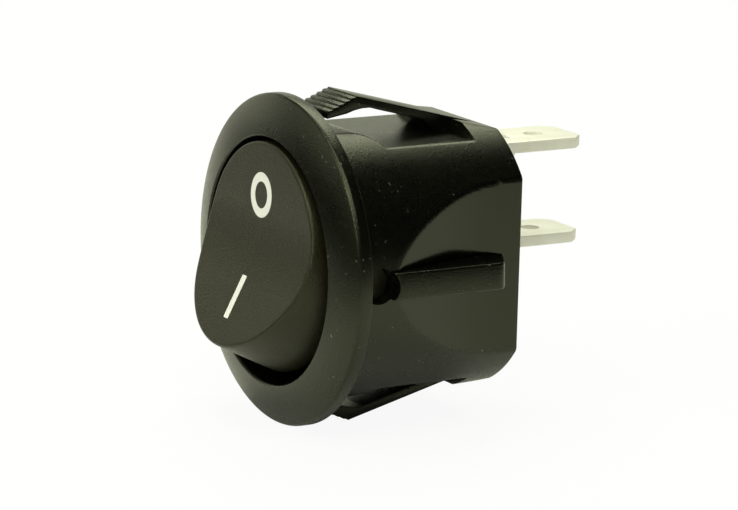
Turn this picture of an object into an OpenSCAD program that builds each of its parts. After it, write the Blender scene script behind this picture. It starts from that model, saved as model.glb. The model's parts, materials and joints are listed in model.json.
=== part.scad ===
// Round snap-in rocker switch, single pole, off/on.
// X is across the panel, Y runs backwards through the panel, Z is up.
// The origin is the centre of the bezel's back face, where it seats on the panel.
// The rocker is drawn with its O half pressed, which is the switch's off state.

/* [Bezel] */
// Outside diameter of the bezel
bezel_d = 23; // [22.2:0.1:26]
// Height of the bezel's straight rim above the panel
rim_h = 0.87; // [0.5:0.01:1.2]
// Height of the bezel's lip, round the opening, above the panel
lip_h = 1.88; // [1.5:0.01:2.6]
// Clear diameter of the opening for the rocker
opening_d = 17.1; // [16.9:0.05:17.6]
// Rounding of the bezel's rim and lip
edge_r = 0.25; // [0.05:0.01:0.3]

/* [Barrel] */
// Diameter of the barrel that passes through the panel
barrel_d = 19.9; // [19.3:0.05:20.4]
// Length of the barrel behind the panel
barrel_l = 13.8; // [13.4:0.05:16]
// Width across the two side flats
flat_w = 15.7; // [15:0.1:17]
// Where the side flats start to slope in, behind the panel
flat_start = 2.75; // [2.7:0.05:4]
// Where the side flats become parallel, behind the panel
flat_end = 9.95; // [8:0.05:11]
// Thickness of the rear wall that holds the blades
rear_wall = 2; // [1.5:0.1:2.2]
// Depth of the rocker's round well behind the panel
well_depth = 3.3; // [3.2:0.05:3.4]
// Width of the contact chamber
chamber_w = 10.4; // [9.6:0.1:11]
// Height of the contact chamber
chamber_h = 14.7; // [14.6:0.1:15]

/* [Key ribs] */
// Width of the ribs that stop the switch turning in its panel
rib_w = 1.85; // [1:0.05:2.2]
// Distance across the two ribs
rib_across = 21.2; // [20.6:0.1:21.8]
// Where the ribs end, behind the panel
rib_end = 11.1; // [9:0.1:12]

/* [Snap arms] */
// Width of each snap arm
arm_w = 4; // [3:0.1:5]
// Thickness of each snap arm
arm_t = 0.64; // [0.4:0.02:0.9]
// Height of the arm's ridge above the barrel's axis
ridge_z = 11.35; // [10.9:0.05:11.6]
// Place of the ridge behind the panel
ridge_y = 3.85; // [3.6:0.05:4.4]
// Height of the arm's outer face at the back of the barrel
arm_root_z = 8.9; // [8.6:0.05:9.1]
// Place of the arm's tip behind the panel
tip_y = 1.6; // [1.3:0.05:1.9]
// Drop of the serrated ramp from the ridge to the tip
ramp_drop = 0.96; // [0.7:0.02:1.2]
// Number of gripping teeth on the ramp
teeth = 5; // [3:1:7]
// Depth of the gripping teeth
tooth_depth = 0.16; // [0.08:0.01:0.25]

/* [Arm channels] */
// Height of the channel floor above the barrel's axis
channel_z = 8.4; // [8.3:0.02:8.5]
// Height of the land in front of the channel
land_z = 9.27; // [9.2:0.01:9.4]
// Where the land starts to round down to the floor
land_end = 2.35; // [2.2:0.05:2.6]
// Place of the channel's back wall at its floor
channel_end = 11.4; // [10.6:0.1:11.8]

/* [Rocker] */
// Distance of the rocker's axis behind the panel
pivot_y = 1.45; // [1.4:0.05:1.6]
// Tilt of the rocker to each side of its middle position
rocker_tilt = 14.8; // [12:0.1:15]
// Diameter of the rocker at the edge of its face
face_d = 14.3; // [13.6:0.1:14.5]
// Diameter of the rocker at the foot of its skirt
skirt_d = 16.3; // [16:0.1:16.4]
// Distance from the axis to the bottom of the valley in the face
valley_h = 4.17; // [4:0.01:4.4]
// Slope of each half of the face
face_slope = 12.5; // [10:0.5:14]
// Radius of the valley that blends the two halves
valley_r = 12; // [4:0.5:16]
// Distance from the axis to the foot of the skirt
skirt_foot = 0.6; // [0.5:0.05:0.9]
// Wall of the rocker
rocker_wall = 1.2; // [0.8:0.05:1.5]
// Diameter of the trunnions
trunnion_d = 2.4; // [1.8:0.1:2.5]
// Radius of the ears that carry the trunnions
ear_r = 1.8; // [1.5:0.1:1.8]

/* [Pusher] */
// Diameter of the pusher's shank
pusher_d = 2.5; // [2:0.1:2.8]
// Length of the pusher's shank
shank_l = 3.4; // [3:0.1:3.8]
// Diameter of the pusher's rounded tip
pusher_tip_d = 1.6; // [1.2:0.1:1.8]
// Wall of the rocker's post round the pusher
post_wall = 0.9; // [0.6:0.05:1]
// Distance from the axis to the end of the post
post_end = 3.8; // [3:0.1:3.9]
// Wire of the pusher's spring
spring_wire = 0.28; // [0.2:0.02:0.32]
// Turns of the pusher's spring
spring_turns = 5; // [3:1:7]

/* [Contacts] */
// Tilt of the contact lever to each side of its middle position
lever_tilt = 10; // [8:0.5:11]
// Bend of each wing of the contact lever
wing_bend = 14; // [12:0.5:15]
// Length of each wing of the contact lever
wing_l = 6; // [5.8:0.1:6.2]
// Width of the contact lever
lever_w = 4; // [3.6:0.1:4.2]
// Thickness of the contact lever
lever_t = 0.5; // [0.4:0.02:0.6]
// Distance of the contacts from the saddle along the wing
contact_at = 4.7; // [4.5:0.1:4.9]
// Diameter of the silver contacts
contact_d = 2.2; // [1.8:0.1:2.6]
// Thickness of the silver contact heads
contact_t = 0.55; // [0.4:0.05:0.6]

/* [Blades] */
// Width of the blades
blade_w = 4.8; // [4.6:0.1:5]
// Thickness of the blades
blade_t = 0.8; // [0.7:0.05:0.9]
// Length of the blades behind the rear wall
blade_l = 8.65; // [7.6:0.05:9]
// Height of the load blade above the common blade
blade_pitch = 6.8; // [6.7:0.05:6.85]
// Bevel of the blades' corners
blade_bevel = 0.8; // [0.3:0.1:1]
// Diameter of the wire hole in the blades
wire_hole_d = 1.4; // [1:0.1:1.8]
// Distance of the wire hole from the end of the blade
wire_hole_at = 2.9; // [2.2:0.1:3.4]
// Width of the locking tongue
tongue_w = 1.6; // [1.2:0.1:2]
// Length of the locking tongue
tongue_l = 3.9; // [3:0.1:4.2]
// Drop of the locking tongue below its blade
tongue_drop = 0.9; // [0.6:0.05:1.1]

/* [Clearances] */
// Running clearance of the trunnions and the pusher, on the radius
run_gap = 0.05; // [0.02:0.01:0.08]
// Gap between pieces that rest against each other
rest_gap = 0.05; // [0.03:0.01:0.08]
// Gap between the pusher and the lever at mid travel
pusher_gap = 0.16; // [0.14:0.01:0.2]

/* [Hidden] */
$fn = 96;
eps = 0.01;

// Bezel: the domed face is an arc whose highest ring lies inside the opening
opening_r = opening_d / 2;
bezel_r = bezel_d / 2;
barrel_r = barrel_d / 2;
dome_x = opening_r - 2;
dome_near = opening_r - dome_x;
dome_far = bezel_r - dome_x;
dome_r = sqrt(pow(((dome_far * dome_far - dome_near * dome_near) / (lip_h - rim_h)
              - (lip_h - rim_h)) / 2 + (lip_h - rim_h), 2) + dome_near * dome_near);
dome_y = sqrt(dome_r * dome_r - dome_near * dome_near) - lip_h;

// Snap arms and channels
arm_slope = (ridge_z - arm_root_z) / (barrel_l - ridge_y);
tip_z = ridge_z - ramp_drop;
tip_t = 0.5;
land_r = land_z - channel_z;
chamber_top = chamber_h / 2;

// Rocker, in its own frame: the axis is at the origin and it stands in its middle position
face_r = face_d / 2;
skirt_r = skirt_d / 2;
valley_half = valley_r * sin(face_slope);
face_edge = valley_h + valley_r * (1 - cos(face_slope)) + (face_r - valley_half) * tan(face_slope);
skirt_run = face_edge - skirt_foot;
skirt_draft = (skirt_r - face_r) / skirt_run;
trunnion_r = trunnion_d / 2;
trunnion_end = barrel_r - 0.2;
trunnion_hole_r = trunnion_r + run_gap;
ear_t = 1.5;
ear_in = opening_r - ear_t;

// Pusher and spring
pusher_r = pusher_d / 2;
tip_r = pusher_tip_d / 2;
post_bore_r = pusher_r + run_gap;
post_r = post_bore_r + post_wall;
bore_roof = valley_h - rocker_wall;
post_root = bore_roof + 0.5;

// Contact lever: its saddle line is the ridge on the back of the bend
chamber_back = barrel_l - rear_wall;
leg_y = chamber_back - blade_t - rest_gap;
saddle_y = leg_y - contact_gap_y() - rest_gap;
lever_front = lever_t / cos(wing_bend);
pusher_end = saddle_y - lever_front - pusher_gap - pivot_y;
neck_l = 0.6;
neck_cone = 0.5;
shank_start = pusher_end - tip_r - neck_l - shank_l;
prong_w = 1.6;
notch_d = 0.5;
notch_h = blade_t / 2 + 0.22;
contact_r = contact_d / 2;
shank_r = contact_r * 0.5;
upset_r = contact_r * 0.8;
upset_t = 0.25;

// Blades
blade_end = barrel_l + blade_l;
slot_w = blade_w + 2 * rest_gap;
slot_t = blade_t + 2 * rest_gap;
leg_foot = contact_z() - contact_r - 0.3;
tongue_root = barrel_l + rest_gap + tongue_l;
tongue_t = 0.4;

// Place of the closed contacts, with the lever tipped back on its saddle
function closed(u, v) = [u * cos(lever_tilt) + v * sin(lever_tilt), v * cos(lever_tilt) - u * sin(lever_tilt)];
function wing_point(d) = closed(-d * sin(wing_bend), d * cos(wing_bend));
function contact_z() = wing_point(contact_at)[1] - contact_t * sin(wing_bend - lever_tilt);
// Depth taken up behind the saddle line by the two contact heads
function contact_gap_y() = wing_point(contact_at)[0] + 2 * contact_t
                           + contact_d / 2 * sin(wing_bend - lever_tilt);

// Revolves a profile of (radius, depth) about the barrel's axis
module turned() {
    rotate([-90, 0, 0]) rotate_extrude() children();
}

// Extrudes a profile of (depth, height) across the switch, centred on X
module across(width) {
    rotate([90, 0, 90]) linear_extrude(height = width, center = true) children();
}

// The sliver that rounds an outside corner at the origin, with the body in the +,+ quadrant
module corner_sliver(r) {
    difference() {
        translate([-eps, -eps]) square(r + eps);
        translate([r, r]) circle(r = r, $fn = 48);
    }
}

module both_sides() {
    children();
    mirror([1, 0, 0]) children();
}

module top_and_bottom() {
    children();
    mirror([0, 0, 1]) children();
}

// ---- Housing: one moulding ----

module bezel_profile() {
    difference() {
        intersection() {
            translate([opening_r, -lip_h]) square([bezel_r - opening_r, lip_h]);
            translate([dome_x, dome_y]) circle(r = dome_r, $fn = 360);
        }
        translate([opening_r, -lip_h]) corner_sliver(edge_r * 1.5);
        translate([bezel_r, -rim_h - 0.02]) mirror([1, 0]) corner_sliver(edge_r);
    }
}

module barrel_profile() {
    square([barrel_r, barrel_l]);
}

// Wedge that a side flat takes off the barrel
module flat_cut() {
    linear_extrude(height = bezel_d, center = true)
        polygon([[barrel_r, flat_start], [flat_w / 2, flat_end], [flat_w / 2, barrel_l + 1],
                 [bezel_d, barrel_l + 1], [bezel_d, flat_start]]);
}

// Rib with a bevelled front edge and a ramped back end
module key_rib() {
    bevel = 0.25;
    linear_extrude(height = rib_w, center = true)
        polygon([[flat_w / 2 - 1, pivot_y], [rib_across / 2 - bevel, pivot_y],
                 [rib_across / 2, pivot_y + trunnion_hole_r + bevel], [rib_across / 2, rib_end - 2.5 * bevel],
                 [rib_across / 2 - bevel, rib_end], [flat_w / 2 - 1, rib_end]]);
}

// Profile of a snap arm with its serrated ramp, from (depth, height) points
module arm_profile() {
    pitch_y = (ridge_y - tip_y) / teeth;
    pitch_z = ramp_drop / teeth;
    difference() {
        polygon([[tip_y, tip_z - tip_t], [tip_y, tip_z], [ridge_y, ridge_z], [barrel_l, arm_root_z],
                 [barrel_l, channel_z - 1], [channel_end, channel_z - 1],
                 [channel_end - 2.2, ridge_z - arm_slope * (channel_end - 2.2 - ridge_y) - arm_t],
                 [ridge_y + 1.6, ridge_z - arm_slope * 1.6 - arm_t], [ridge_y + 0.3, ridge_z - arm_t - 0.28],
                 [ridge_y - 0.7, ridge_z - arm_t - 0.36]]);
        for (i = [0 : teeth - 1])
            translate([tip_y + i * pitch_y, tip_z + i * pitch_z])
                polygon([[0.06, 0.06 * ramp_drop / (ridge_y - tip_y)], [pitch_y, pitch_z + eps],
                         [pitch_y, pitch_z - tooth_depth]]);
    }
}

// Everything taken off the barrel to free a snap arm: land, rounded step and channel
module channel_cut() {
    across(bezel_d) difference() {
        union() {
            translate([rest_gap, land_z]) square([channel_end - 1, bezel_r]);
            translate([land_end, channel_z]) square([channel_end - land_end, bezel_r]);
        }
        translate([land_end, channel_z - land_r]) intersection() {
            scale([1.35, 1]) circle(r = 2 * land_r, $fn = 64);
            square(3 * land_r);
        }
        translate([land_end - 2, channel_z - 2]) square(2);
    }
}

// Plane on which the arm's outer face runs out over the back of the barrel
module rear_slope_cut() {
    across(bezel_d) polygon([[channel_end - 1, ridge_z - arm_slope * (channel_end - 1 - ridge_y)],
                             [barrel_l + 1, arm_root_z - arm_slope], [barrel_l + 1, bezel_d],
                             [channel_end - 1, bezel_d]]);
}

module snap_arm() {
    across(arm_w) arm_profile();
}

// Pad that the lever's idle wing rests on when the switch is off
module lever_stop() {
    pad_h = 1.8;
    stop_y = saddle_y + wing_point(contact_at - pad_h / 2)[0] + rest_gap;
    translate([-contact_r, stop_y, -contact_at - pad_h / 2])
        cube([contact_d, chamber_back - stop_y + 0.5, pad_h]);
}

module housing() {
    color([0.075, 0.073, 0.066]) difference() {
        union() {
            turned() bezel_profile();
            difference() {
                turned() barrel_profile();
                both_sides() flat_cut();
                top_and_bottom() channel_cut();
                top_and_bottom() rear_slope_cut();
            }
            both_sides() key_rib();
            top_and_bottom() snap_arm();
        }
        translate([0, -lip_h - 1, 0]) turned() square([opening_r, lip_h + 1 + well_depth]);
        difference() {
            translate([-chamber_w / 2, well_depth - eps, -chamber_top])
                cube([chamber_w, chamber_back - well_depth + eps, chamber_h]);
            lever_stop();
        }
        rotate([0, 90, 0]) translate([0, pivot_y, 0])
            cylinder(r = trunnion_hole_r, h = bezel_d, center = true, $fn = 64);
        for (z = [0, blade_pitch])
            translate([-slot_w / 2, 0, z - slot_t / 2]) cube([slot_w, barrel_l + 1, slot_t]);
    }
}

// ---- Rocker ----

// Half-plane behind the rocker's face, with the face pushed back by drop, as (depth, height)
module face_profile(drop) {
    edge_z = face_r + 3;
    edge_y = valley_h + valley_r * (1 - cos(face_slope)) + (edge_z - valley_half) * tan(face_slope);
    arc_start = valley_h + valley_r * (1 - cos(face_slope));
    translate([drop, 0]) difference() {
        polygon([[20, -edge_z], [20, edge_z], [-edge_y, edge_z], [-arc_start, valley_half],
                 [-valley_h - valley_r * 0.05, 0], [-arc_start, -valley_half], [-edge_y, -edge_z]]);
        translate([-valley_h - valley_r, 0]) circle(r = valley_r, $fn = 360);
    }
}

// Outside of the rocker's skirt, thinned by inset, as (radius, depth)
module skirt_profile(inset, foot) {
    nose = face_edge + 3;
    polygon([[0, -nose], [face_r - inset - skirt_draft * 3, -nose], [skirt_r - inset, -skirt_foot],
             [skirt_r - inset, foot], [0, foot]]);
}

module rocker_shell() {
    difference() {
        intersection() {
            turned() skirt_profile(0, -skirt_foot);
            across(bezel_d) face_profile(0);
        }
        intersection() {
            turned() skirt_profile(rocker_wall, eps);
            across(bezel_d) face_profile(rocker_wall);
        }
    }
}

// Ears that bring the skirt down to the axis, with a trunnion on each
module trunnion_ears() {
    both_sides() {
        intersection() {
            translate([ear_in, 0, 0]) rotate([0, 90, 0]) cylinder(r = ear_r, h = barrel_r, $fn = 64);
            turned() translate([0, -ear_r]) square([skirt_r, 2 * ear_r]);
        }
        translate([ear_in, 0, 0]) rotate([0, 90, 0])
            cylinder(r = trunnion_r, h = trunnion_end - ear_in, $fn = 64);
    }
}

module pusher_post() {
    turned() translate([0, -post_root]) square([post_r, post_root + post_end]);
    intersection() {
        translate([-skirt_r + rocker_wall / 2, -post_root, -0.5])
            cube([skirt_d - rocker_wall, bore_roof - skirt_foot, 1]);
        turned() skirt_profile(rocker_wall / 2, 0);
    }
}

// Puts a rocker-frame piece in the housing with the O half pressed
module rocker_place() {
    translate([0, pivot_y, 0]) rotate([-rocker_tilt, 0, 0]) children();
}

module rocker() {
    color([0.105, 0.098, 0.085]) rocker_place() difference() {
        union() {
            rocker_shell();
            trunnion_ears();
            pusher_post();
        }
        turned() translate([0, -bore_roof]) square([post_bore_r, bore_roof + post_end + 1]);
    }
}

// ---- Pusher and its spring ----

module pusher() {
    shank_end = shank_start + shank_l;
    color("ivory") rocker_place() turned() union() {
        translate([0, shank_start]) square([pusher_r, shank_l]);
        polygon([[0, shank_end - eps], [pusher_r, shank_end - eps], [tip_r, shank_end + neck_cone],
                 [tip_r, pusher_end - tip_r], [0, pusher_end - tip_r]]);
        intersection() {
            translate([0, pusher_end - tip_r]) circle(r = tip_r, $fn = 48);
            translate([0, pusher_end - tip_r]) square(tip_r);
        }
    }
}

// Wire swept round a helix as one closed skin of rings
module coil(mean_r, wire_r, length, turns, sides, steps) {
    rings = turns * steps;
    rise = (length - 2 * wire_r) / rings;
    points = [for (i = [0 : rings]) for (k = [0 : sides - 1])
        let (a = 360 * i / steps, b = 360 * k / sides, r = mean_r + wire_r * cos(b))
        [r * cos(a), wire_r + rise * i + wire_r * sin(b), r * sin(a)]];
    skins = [for (i = [0 : rings - 1]) for (k = [0 : sides - 1])
        let (p = i * sides + k, q = i * sides + (k + 1) % sides) [p, q, q + sides, p + sides]];
    ends = [[for (k = [sides - 1 : -1 : 0]) k], [for (k = [0 : sides - 1]) rings * sides + k]];
    polyhedron(points, concat(skins, ends), convexity = 8);
}

module pusher_spring() {
    wire_r = spring_wire / 2;
    seat = rest_gap / 2;
    color("silver") rocker_place() translate([0, -bore_roof + seat, 0])
        coil(pusher_r - wire_r - run_gap, wire_r, shank_start + bore_roof - 2 * seat, spring_turns, 8, 20);
}

// ---- Contact lever and contacts ----

// Puts a lever-frame piece on its saddle with the lever in its off tilt
module lever_place() {
    translate([0, saddle_y, 0]) rotate([lever_tilt, 0, 0]) children();
}

// Frame of the upper wing: its back face is the plane y = 0 and z runs out along it
module wing_place() {
    rotate([wing_bend, 0, 0]) children();
}

module lever_profile() {
    s = sin(wing_bend);
    c = cos(wing_bend);
    polygon([[0, 0], [-wing_l * s, wing_l * c], [-wing_l * s - lever_t * c, wing_l * c - lever_t * s],
             [-lever_front, 0], [-wing_l * s - lever_t * c, -wing_l * c + lever_t * s],
             [-wing_l * s, -wing_l * c]]);
}

module contact_lever() {
    color([0.72, 0.45, 0.25]) lever_place() difference() {
        across(lever_w) lever_profile();
        both_sides() translate([lever_w / 2 - notch_d, -2, -notch_h]) cube([lever_w, 4, 2 * notch_h]);
        wing_place() translate([0, 0, contact_at]) rotate([90, 0, 0])
            cylinder(r = shank_r, h = 4, center = true, $fn = 48);
    }
}

// Rivet along -Y: head behind the sheet's back face, shank through it, upset in front
module contact_rivet(sheet_t) {
    rotate([90, 0, 0]) {
        translate([0, 0, -contact_t]) cylinder(r = contact_r, h = contact_t, $fn = 64);
        translate([0, 0, -eps]) cylinder(r = shank_r, h = sheet_t + 2 * eps, $fn = 48);
        translate([0, 0, sheet_t]) cylinder(r = upset_r, h = upset_t, $fn = 48);
    }
}

module moving_contact() {
    color("gainsboro") lever_place() wing_place() translate([0, 0, contact_at]) contact_rivet(lever_t);
}

module fixed_contact() {
    color("gainsboro") translate([0, leg_y, contact_z()]) rotate([-90, 0, 0]) {
        translate([0, 0, -contact_t]) cylinder(r = contact_r, h = contact_t, $fn = 64);
        translate([0, 0, -eps]) cylinder(r = shank_r, h = blade_t + eps, $fn = 48);
    }
}

// ---- Terminals ----

// Outline of a blade, as (across, depth), from its root to its bevelled end
module blade_outline(root) {
    difference() {
        polygon([[-blade_w / 2, root], [blade_w / 2, root], [blade_w / 2, blade_end - blade_bevel],
                 [blade_w / 2 - blade_bevel, blade_end], [-blade_w / 2 + blade_bevel, blade_end],
                 [-blade_w / 2, blade_end - blade_bevel]]);
        translate([0, blade_end - wire_hole_at]) circle(d = wire_hole_d, $fn = 48);
    }
}

// Locking tongue struck down out of a blade, behind the rear wall
module tongue_profile() {
    free_end = tongue_root - tongue_l;
    polygon([[tongue_root, blade_t / 2], [tongue_root, -blade_t / 2],
             [tongue_root - 0.35, -blade_t / 2 - tongue_drop], [free_end, -blade_t / 2 - tongue_drop],
             [free_end, -blade_t / 2 - tongue_drop + tongue_t],
             [tongue_root - 0.7, -blade_t / 2 - tongue_drop + tongue_t],
             [tongue_root - 0.4, blade_t / 2]]);
}

module blade(root) {
    difference() {
        translate([0, 0, -blade_t / 2]) linear_extrude(height = blade_t) blade_outline(root);
        translate([-tongue_w / 2, tongue_root - tongue_l, -blade_t])
            cube([tongue_w, tongue_l, 2 * blade_t]);
    }
    across(tongue_w) tongue_profile();
}

module common_terminal() {
    front = saddle_y + rest_gap;
    inner_w = lever_w - 2 * notch_d + 2 * rest_gap;
    color([0.84, 0.81, 0.7]) {
        blade(front);
        both_sides() translate([inner_w / 2, saddle_y - lever_front - 0.6, -blade_t / 2])
            cube([prong_w, chamber_back - saddle_y + lever_front + 0.6 - rest_gap, blade_t]);
    }
}

module load_terminal() {
    color([0.84, 0.81, 0.7]) difference() {
        union() {
            translate([0, 0, blade_pitch]) blade(leg_y);
            translate([-blade_w / 2, leg_y, leg_foot]) cube([blade_w, blade_t, blade_pitch - leg_foot]);
        }
        translate([0, chamber_back, contact_z()]) rotate([90, 0, 0])
            cylinder(r = shank_r, h = 4, center = true, $fn = 48);
    }
}

housing();
rocker();
pusher();
pusher_spring();
contact_lever();
moving_contact();
common_terminal();
load_terminal();
fixed_contact();
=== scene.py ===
# %% [markdown]
# # A round snap-in rocker switch
#
# This lesson dresses a small mains switch: a black moulded housing with two sprung arms, a
# rocker with an O and an I printed on it, and two tinned blades at the back. Every piece is
# modelled in metres in the frame of the imported part: X runs across the panel, Y backwards
# through it and Z up, and the origin is the centre of the bezel's back face.
#
# The first cell clears the file, loads the frame and notes the size of the whole part, so that
# the end of the lesson can print it beside the dressed size.

# %% Load the frame
import json
import math

import bmesh
import bpy
from mathutils import Matrix, Vector

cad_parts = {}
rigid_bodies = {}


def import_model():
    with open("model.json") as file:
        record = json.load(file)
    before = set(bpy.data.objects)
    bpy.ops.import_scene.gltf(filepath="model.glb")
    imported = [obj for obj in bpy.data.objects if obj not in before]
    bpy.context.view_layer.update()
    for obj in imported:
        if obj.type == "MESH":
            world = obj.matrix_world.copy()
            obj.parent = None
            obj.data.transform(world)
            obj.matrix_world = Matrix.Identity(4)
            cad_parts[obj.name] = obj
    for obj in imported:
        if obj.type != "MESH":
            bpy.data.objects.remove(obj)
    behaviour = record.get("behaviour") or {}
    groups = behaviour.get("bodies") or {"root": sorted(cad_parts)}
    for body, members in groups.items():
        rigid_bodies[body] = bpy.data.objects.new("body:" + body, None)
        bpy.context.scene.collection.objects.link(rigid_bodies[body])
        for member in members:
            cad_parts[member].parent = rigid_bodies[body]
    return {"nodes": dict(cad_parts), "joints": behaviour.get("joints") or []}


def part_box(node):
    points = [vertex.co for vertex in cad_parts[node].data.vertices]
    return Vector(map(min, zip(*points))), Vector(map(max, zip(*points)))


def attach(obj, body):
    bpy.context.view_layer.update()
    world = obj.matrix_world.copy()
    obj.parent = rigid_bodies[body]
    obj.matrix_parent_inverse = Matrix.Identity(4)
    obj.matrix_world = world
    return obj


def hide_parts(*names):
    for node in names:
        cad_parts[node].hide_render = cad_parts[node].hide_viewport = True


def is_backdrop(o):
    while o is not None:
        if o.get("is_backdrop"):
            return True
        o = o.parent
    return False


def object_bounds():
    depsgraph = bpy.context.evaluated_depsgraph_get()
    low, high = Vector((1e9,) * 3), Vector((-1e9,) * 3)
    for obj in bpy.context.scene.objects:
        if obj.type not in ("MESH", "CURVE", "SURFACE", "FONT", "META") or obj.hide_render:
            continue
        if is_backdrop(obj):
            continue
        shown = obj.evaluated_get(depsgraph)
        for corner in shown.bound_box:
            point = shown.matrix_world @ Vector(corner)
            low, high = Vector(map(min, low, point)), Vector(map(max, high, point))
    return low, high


for leftover in list(bpy.data.objects):
    bpy.data.objects.remove(leftover)
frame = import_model()
bpy.context.view_layer.update()
cad_low, cad_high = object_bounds()
MM = 0.001
print("frame:", sorted(frame["nodes"]))

# %% [markdown]
# ## Sizes
#
# The big sizes come from the frame's boxes, so that the lesson follows the part: the housing's
# box gives the bezel and the barrel, and the joints give the axis that the rocker turns on and
# how far it tips. What a box can't tell, such as the height of the bezel's lip, is named here in
# millimetres, as a drawing would give it.

# %% Read the sizes of the housing and the joint
house_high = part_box("housing")[1]
joints = {joint["name"]: joint for joint in frame["joints"]}
BEZEL_R = house_high.x / MM
BARREL_L = house_high.y / MM
PIVOT_Y = joints["rocker_tilt"]["pos_m"][1] / MM
TILT = math.radians(joints["rocker_tilt"]["range_deg"][1] / 2)
BARREL_R = 9.95
OPENING_R = 8.55
LIP_H = 1.88
WELL_DEPTH = 3.3
print(f"bezel radius {BEZEL_R:.2f}, barrel length {BARREL_L:.2f}")
print(f"half tilt {math.degrees(TILT):.1f} degrees")

# %% [markdown]
# ## Bench tools
#
# Four small helpers are enough for the modelling. `finish_mesh` turns a bmesh into an object and
# marks as sharp only the edges that turn by more than a given angle, which keeps rounded edges
# soft and cut edges crisp. `outline_face` makes one flat face from a short outline, and `slab`
# extrudes such a face and rolls its edges over.

# %% Helpers that make a mesh
CREASE = math.radians(32)


def finish_mesh(name, bm, crease=CREASE):
    bmesh.ops.remove_doubles(bm, verts=bm.verts, dist=1e-7)
    bmesh.ops.recalc_face_normals(bm, faces=bm.faces)
    mesh = bpy.data.meshes.new(name)
    bm.to_mesh(mesh)
    bm.free()
    mesh.shade_smooth()
    mesh.set_sharp_from_angle(angle=crease)
    obj = bpy.data.objects.new(name, mesh)
    bpy.context.scene.collection.objects.link(obj)
    return obj


def outline_face(bm, points):
    verts = [bm.verts.new(Vector(point) * MM) for point in points]
    return bm.faces.new(verts)


def slab(name, points, along, edge=0.0, segments=3):
    bm = bmesh.new()
    face = outline_face(bm, points)
    grown = bmesh.ops.extrude_face_region(bm, geom=[face])
    moved = [item for item in grown["geom"] if isinstance(item, bmesh.types.BMVert)]
    bmesh.ops.translate(bm, verts=moved, vec=Vector(along) * MM)
    bmesh.ops.recalc_face_normals(bm, faces=bm.faces)
    if edge:
        bmesh.ops.bevel(bm, geom=list(bm.edges), offset=edge * MM, offset_type="OFFSET",
                        affect="EDGES", segments=segments, profile=0.5, material=-1,
                        clamp_overlap=True)
    return finish_mesh(name, bm)


print("an edge is sharp past", round(math.degrees(CREASE)), "degrees")

# %% [markdown]
# `combine` joins one closed solid to another or cuts it with one, as a boolean modifier does, and
# keeps only the finished mesh. A moulding has no seams between its features, so each feature is
# joined on as soon as it is made, and the tool that made it is thrown away.

# %% A helper that joins and cuts solids
def combine(obj, tool, operation, crease=CREASE):
    cut = obj.modifiers.new(operation.lower(), "BOOLEAN")
    cut.operation = operation
    cut.solver = "MANIFOLD"
    cut.object = tool
    bpy.context.view_layer.update()
    graph = bpy.context.evaluated_depsgraph_get()
    solid = bpy.data.meshes.new_from_object(obj.evaluated_get(graph))
    obj.modifiers.clear()
    before, obj.data = obj.data, solid
    bpy.data.meshes.remove(before)
    solid.name = obj.name
    solid.shade_smooth()
    solid.set_sharp_from_angle(angle=crease)
    bpy.data.objects.remove(tool)
    return obj


print("bench tools:", [tool.__name__ for tool in (finish_mesh, outline_face, slab, combine)])

# %% [markdown]
# ## The camera
#
# The camera stands about a quarter of a metre away with a long lens, sixty degrees round from the
# front and a little above, so that the rocker, the barrel and the blades all show. It is placed
# first, because every later look is judged through it. It is rolled by a degree and a half, as a
# camera held in the hand is.

# %% Place the camera
AZIMUTH = math.radians(59.61)
ELEVATION = math.radians(12.61)
ROLL = math.radians(1.549)
DISTANCE = 0.2625
AIM = Vector((2.73, 4.75, 0.4)) * MM
LENS = 186.2
SENSOR = 36.0


def aim_camera():
    back = Vector((math.sin(AZIMUTH) * math.cos(ELEVATION),
                   -math.cos(AZIMUTH) * math.cos(ELEVATION), math.sin(ELEVATION)))
    level = Vector((math.cos(AZIMUTH), math.sin(AZIMUTH), 0))
    upright = back.cross(level)
    right = level * math.cos(ROLL) + upright * math.sin(ROLL)
    up = upright * math.cos(ROLL) - level * math.sin(ROLL)
    data = bpy.data.cameras.new("camera")
    data.lens = LENS
    data.sensor_width = SENSOR
    data.clip_start = 0.01
    camera = bpy.data.objects.new("camera", data)
    turn = Matrix((right, up, back)).transposed().to_4x4()
    camera.matrix_world = Matrix.Translation(AIM + back * DISTANCE) @ turn
    bpy.context.scene.collection.objects.link(camera)
    bpy.context.scene.camera = camera
    return camera


camera = aim_camera()
print("camera at", [round(value, 3) for value in camera.location])

# %% [markdown]
# ## A net of nodes
#
# The light and the finishes are both small nets of nodes, and most of a net is arithmetic on
# patterns. `Sock` wraps the output of a node, so that a sum is written as a sum and each sign adds
# its Math node. The reflected forms let a plain number stand first, as in `1 - mask`. `step` is a
# soft threshold: nothing below the low mark, all above the high one, and a smooth rise between.

# %% A class for shader arithmetic
class Sock:
    def __init__(self, net, socket):
        self.net, self.socket = net, socket

    def maths(self, operation, first, second=0.0):
        return self.net.node("ShaderNodeMath", {"operation": operation}, {0: first, 1: second})

    def __add__(self, other):
        return self.maths("ADD", self, other)

    def __sub__(self, other):
        return self.maths("SUBTRACT", self, other)

    def __mul__(self, other):
        return self.maths("MULTIPLY", self, other)

    def __radd__(self, other):
        return self.maths("ADD", other, self)

    def __rsub__(self, other):
        return self.maths("SUBTRACT", other, self)

    def __rmul__(self, other):
        return self.maths("MULTIPLY", other, self)

    def __abs__(self):
        return self.maths("ABSOLUTE", self)

    def step(self, low, high):
        return self.net.node("ShaderNodeMapRange", {"interpolation_type": "SMOOTHSTEP"},
                             {"Value": self, "From Min": low, "From Max": high})


print("signs that Sock knows: + - * and abs")

# %% [markdown]
# `Net` makes any other node from its type, its settings and what goes into its sockets. `Shade` is
# the net of one material, with short names for the patterns that come up again and again.

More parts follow.
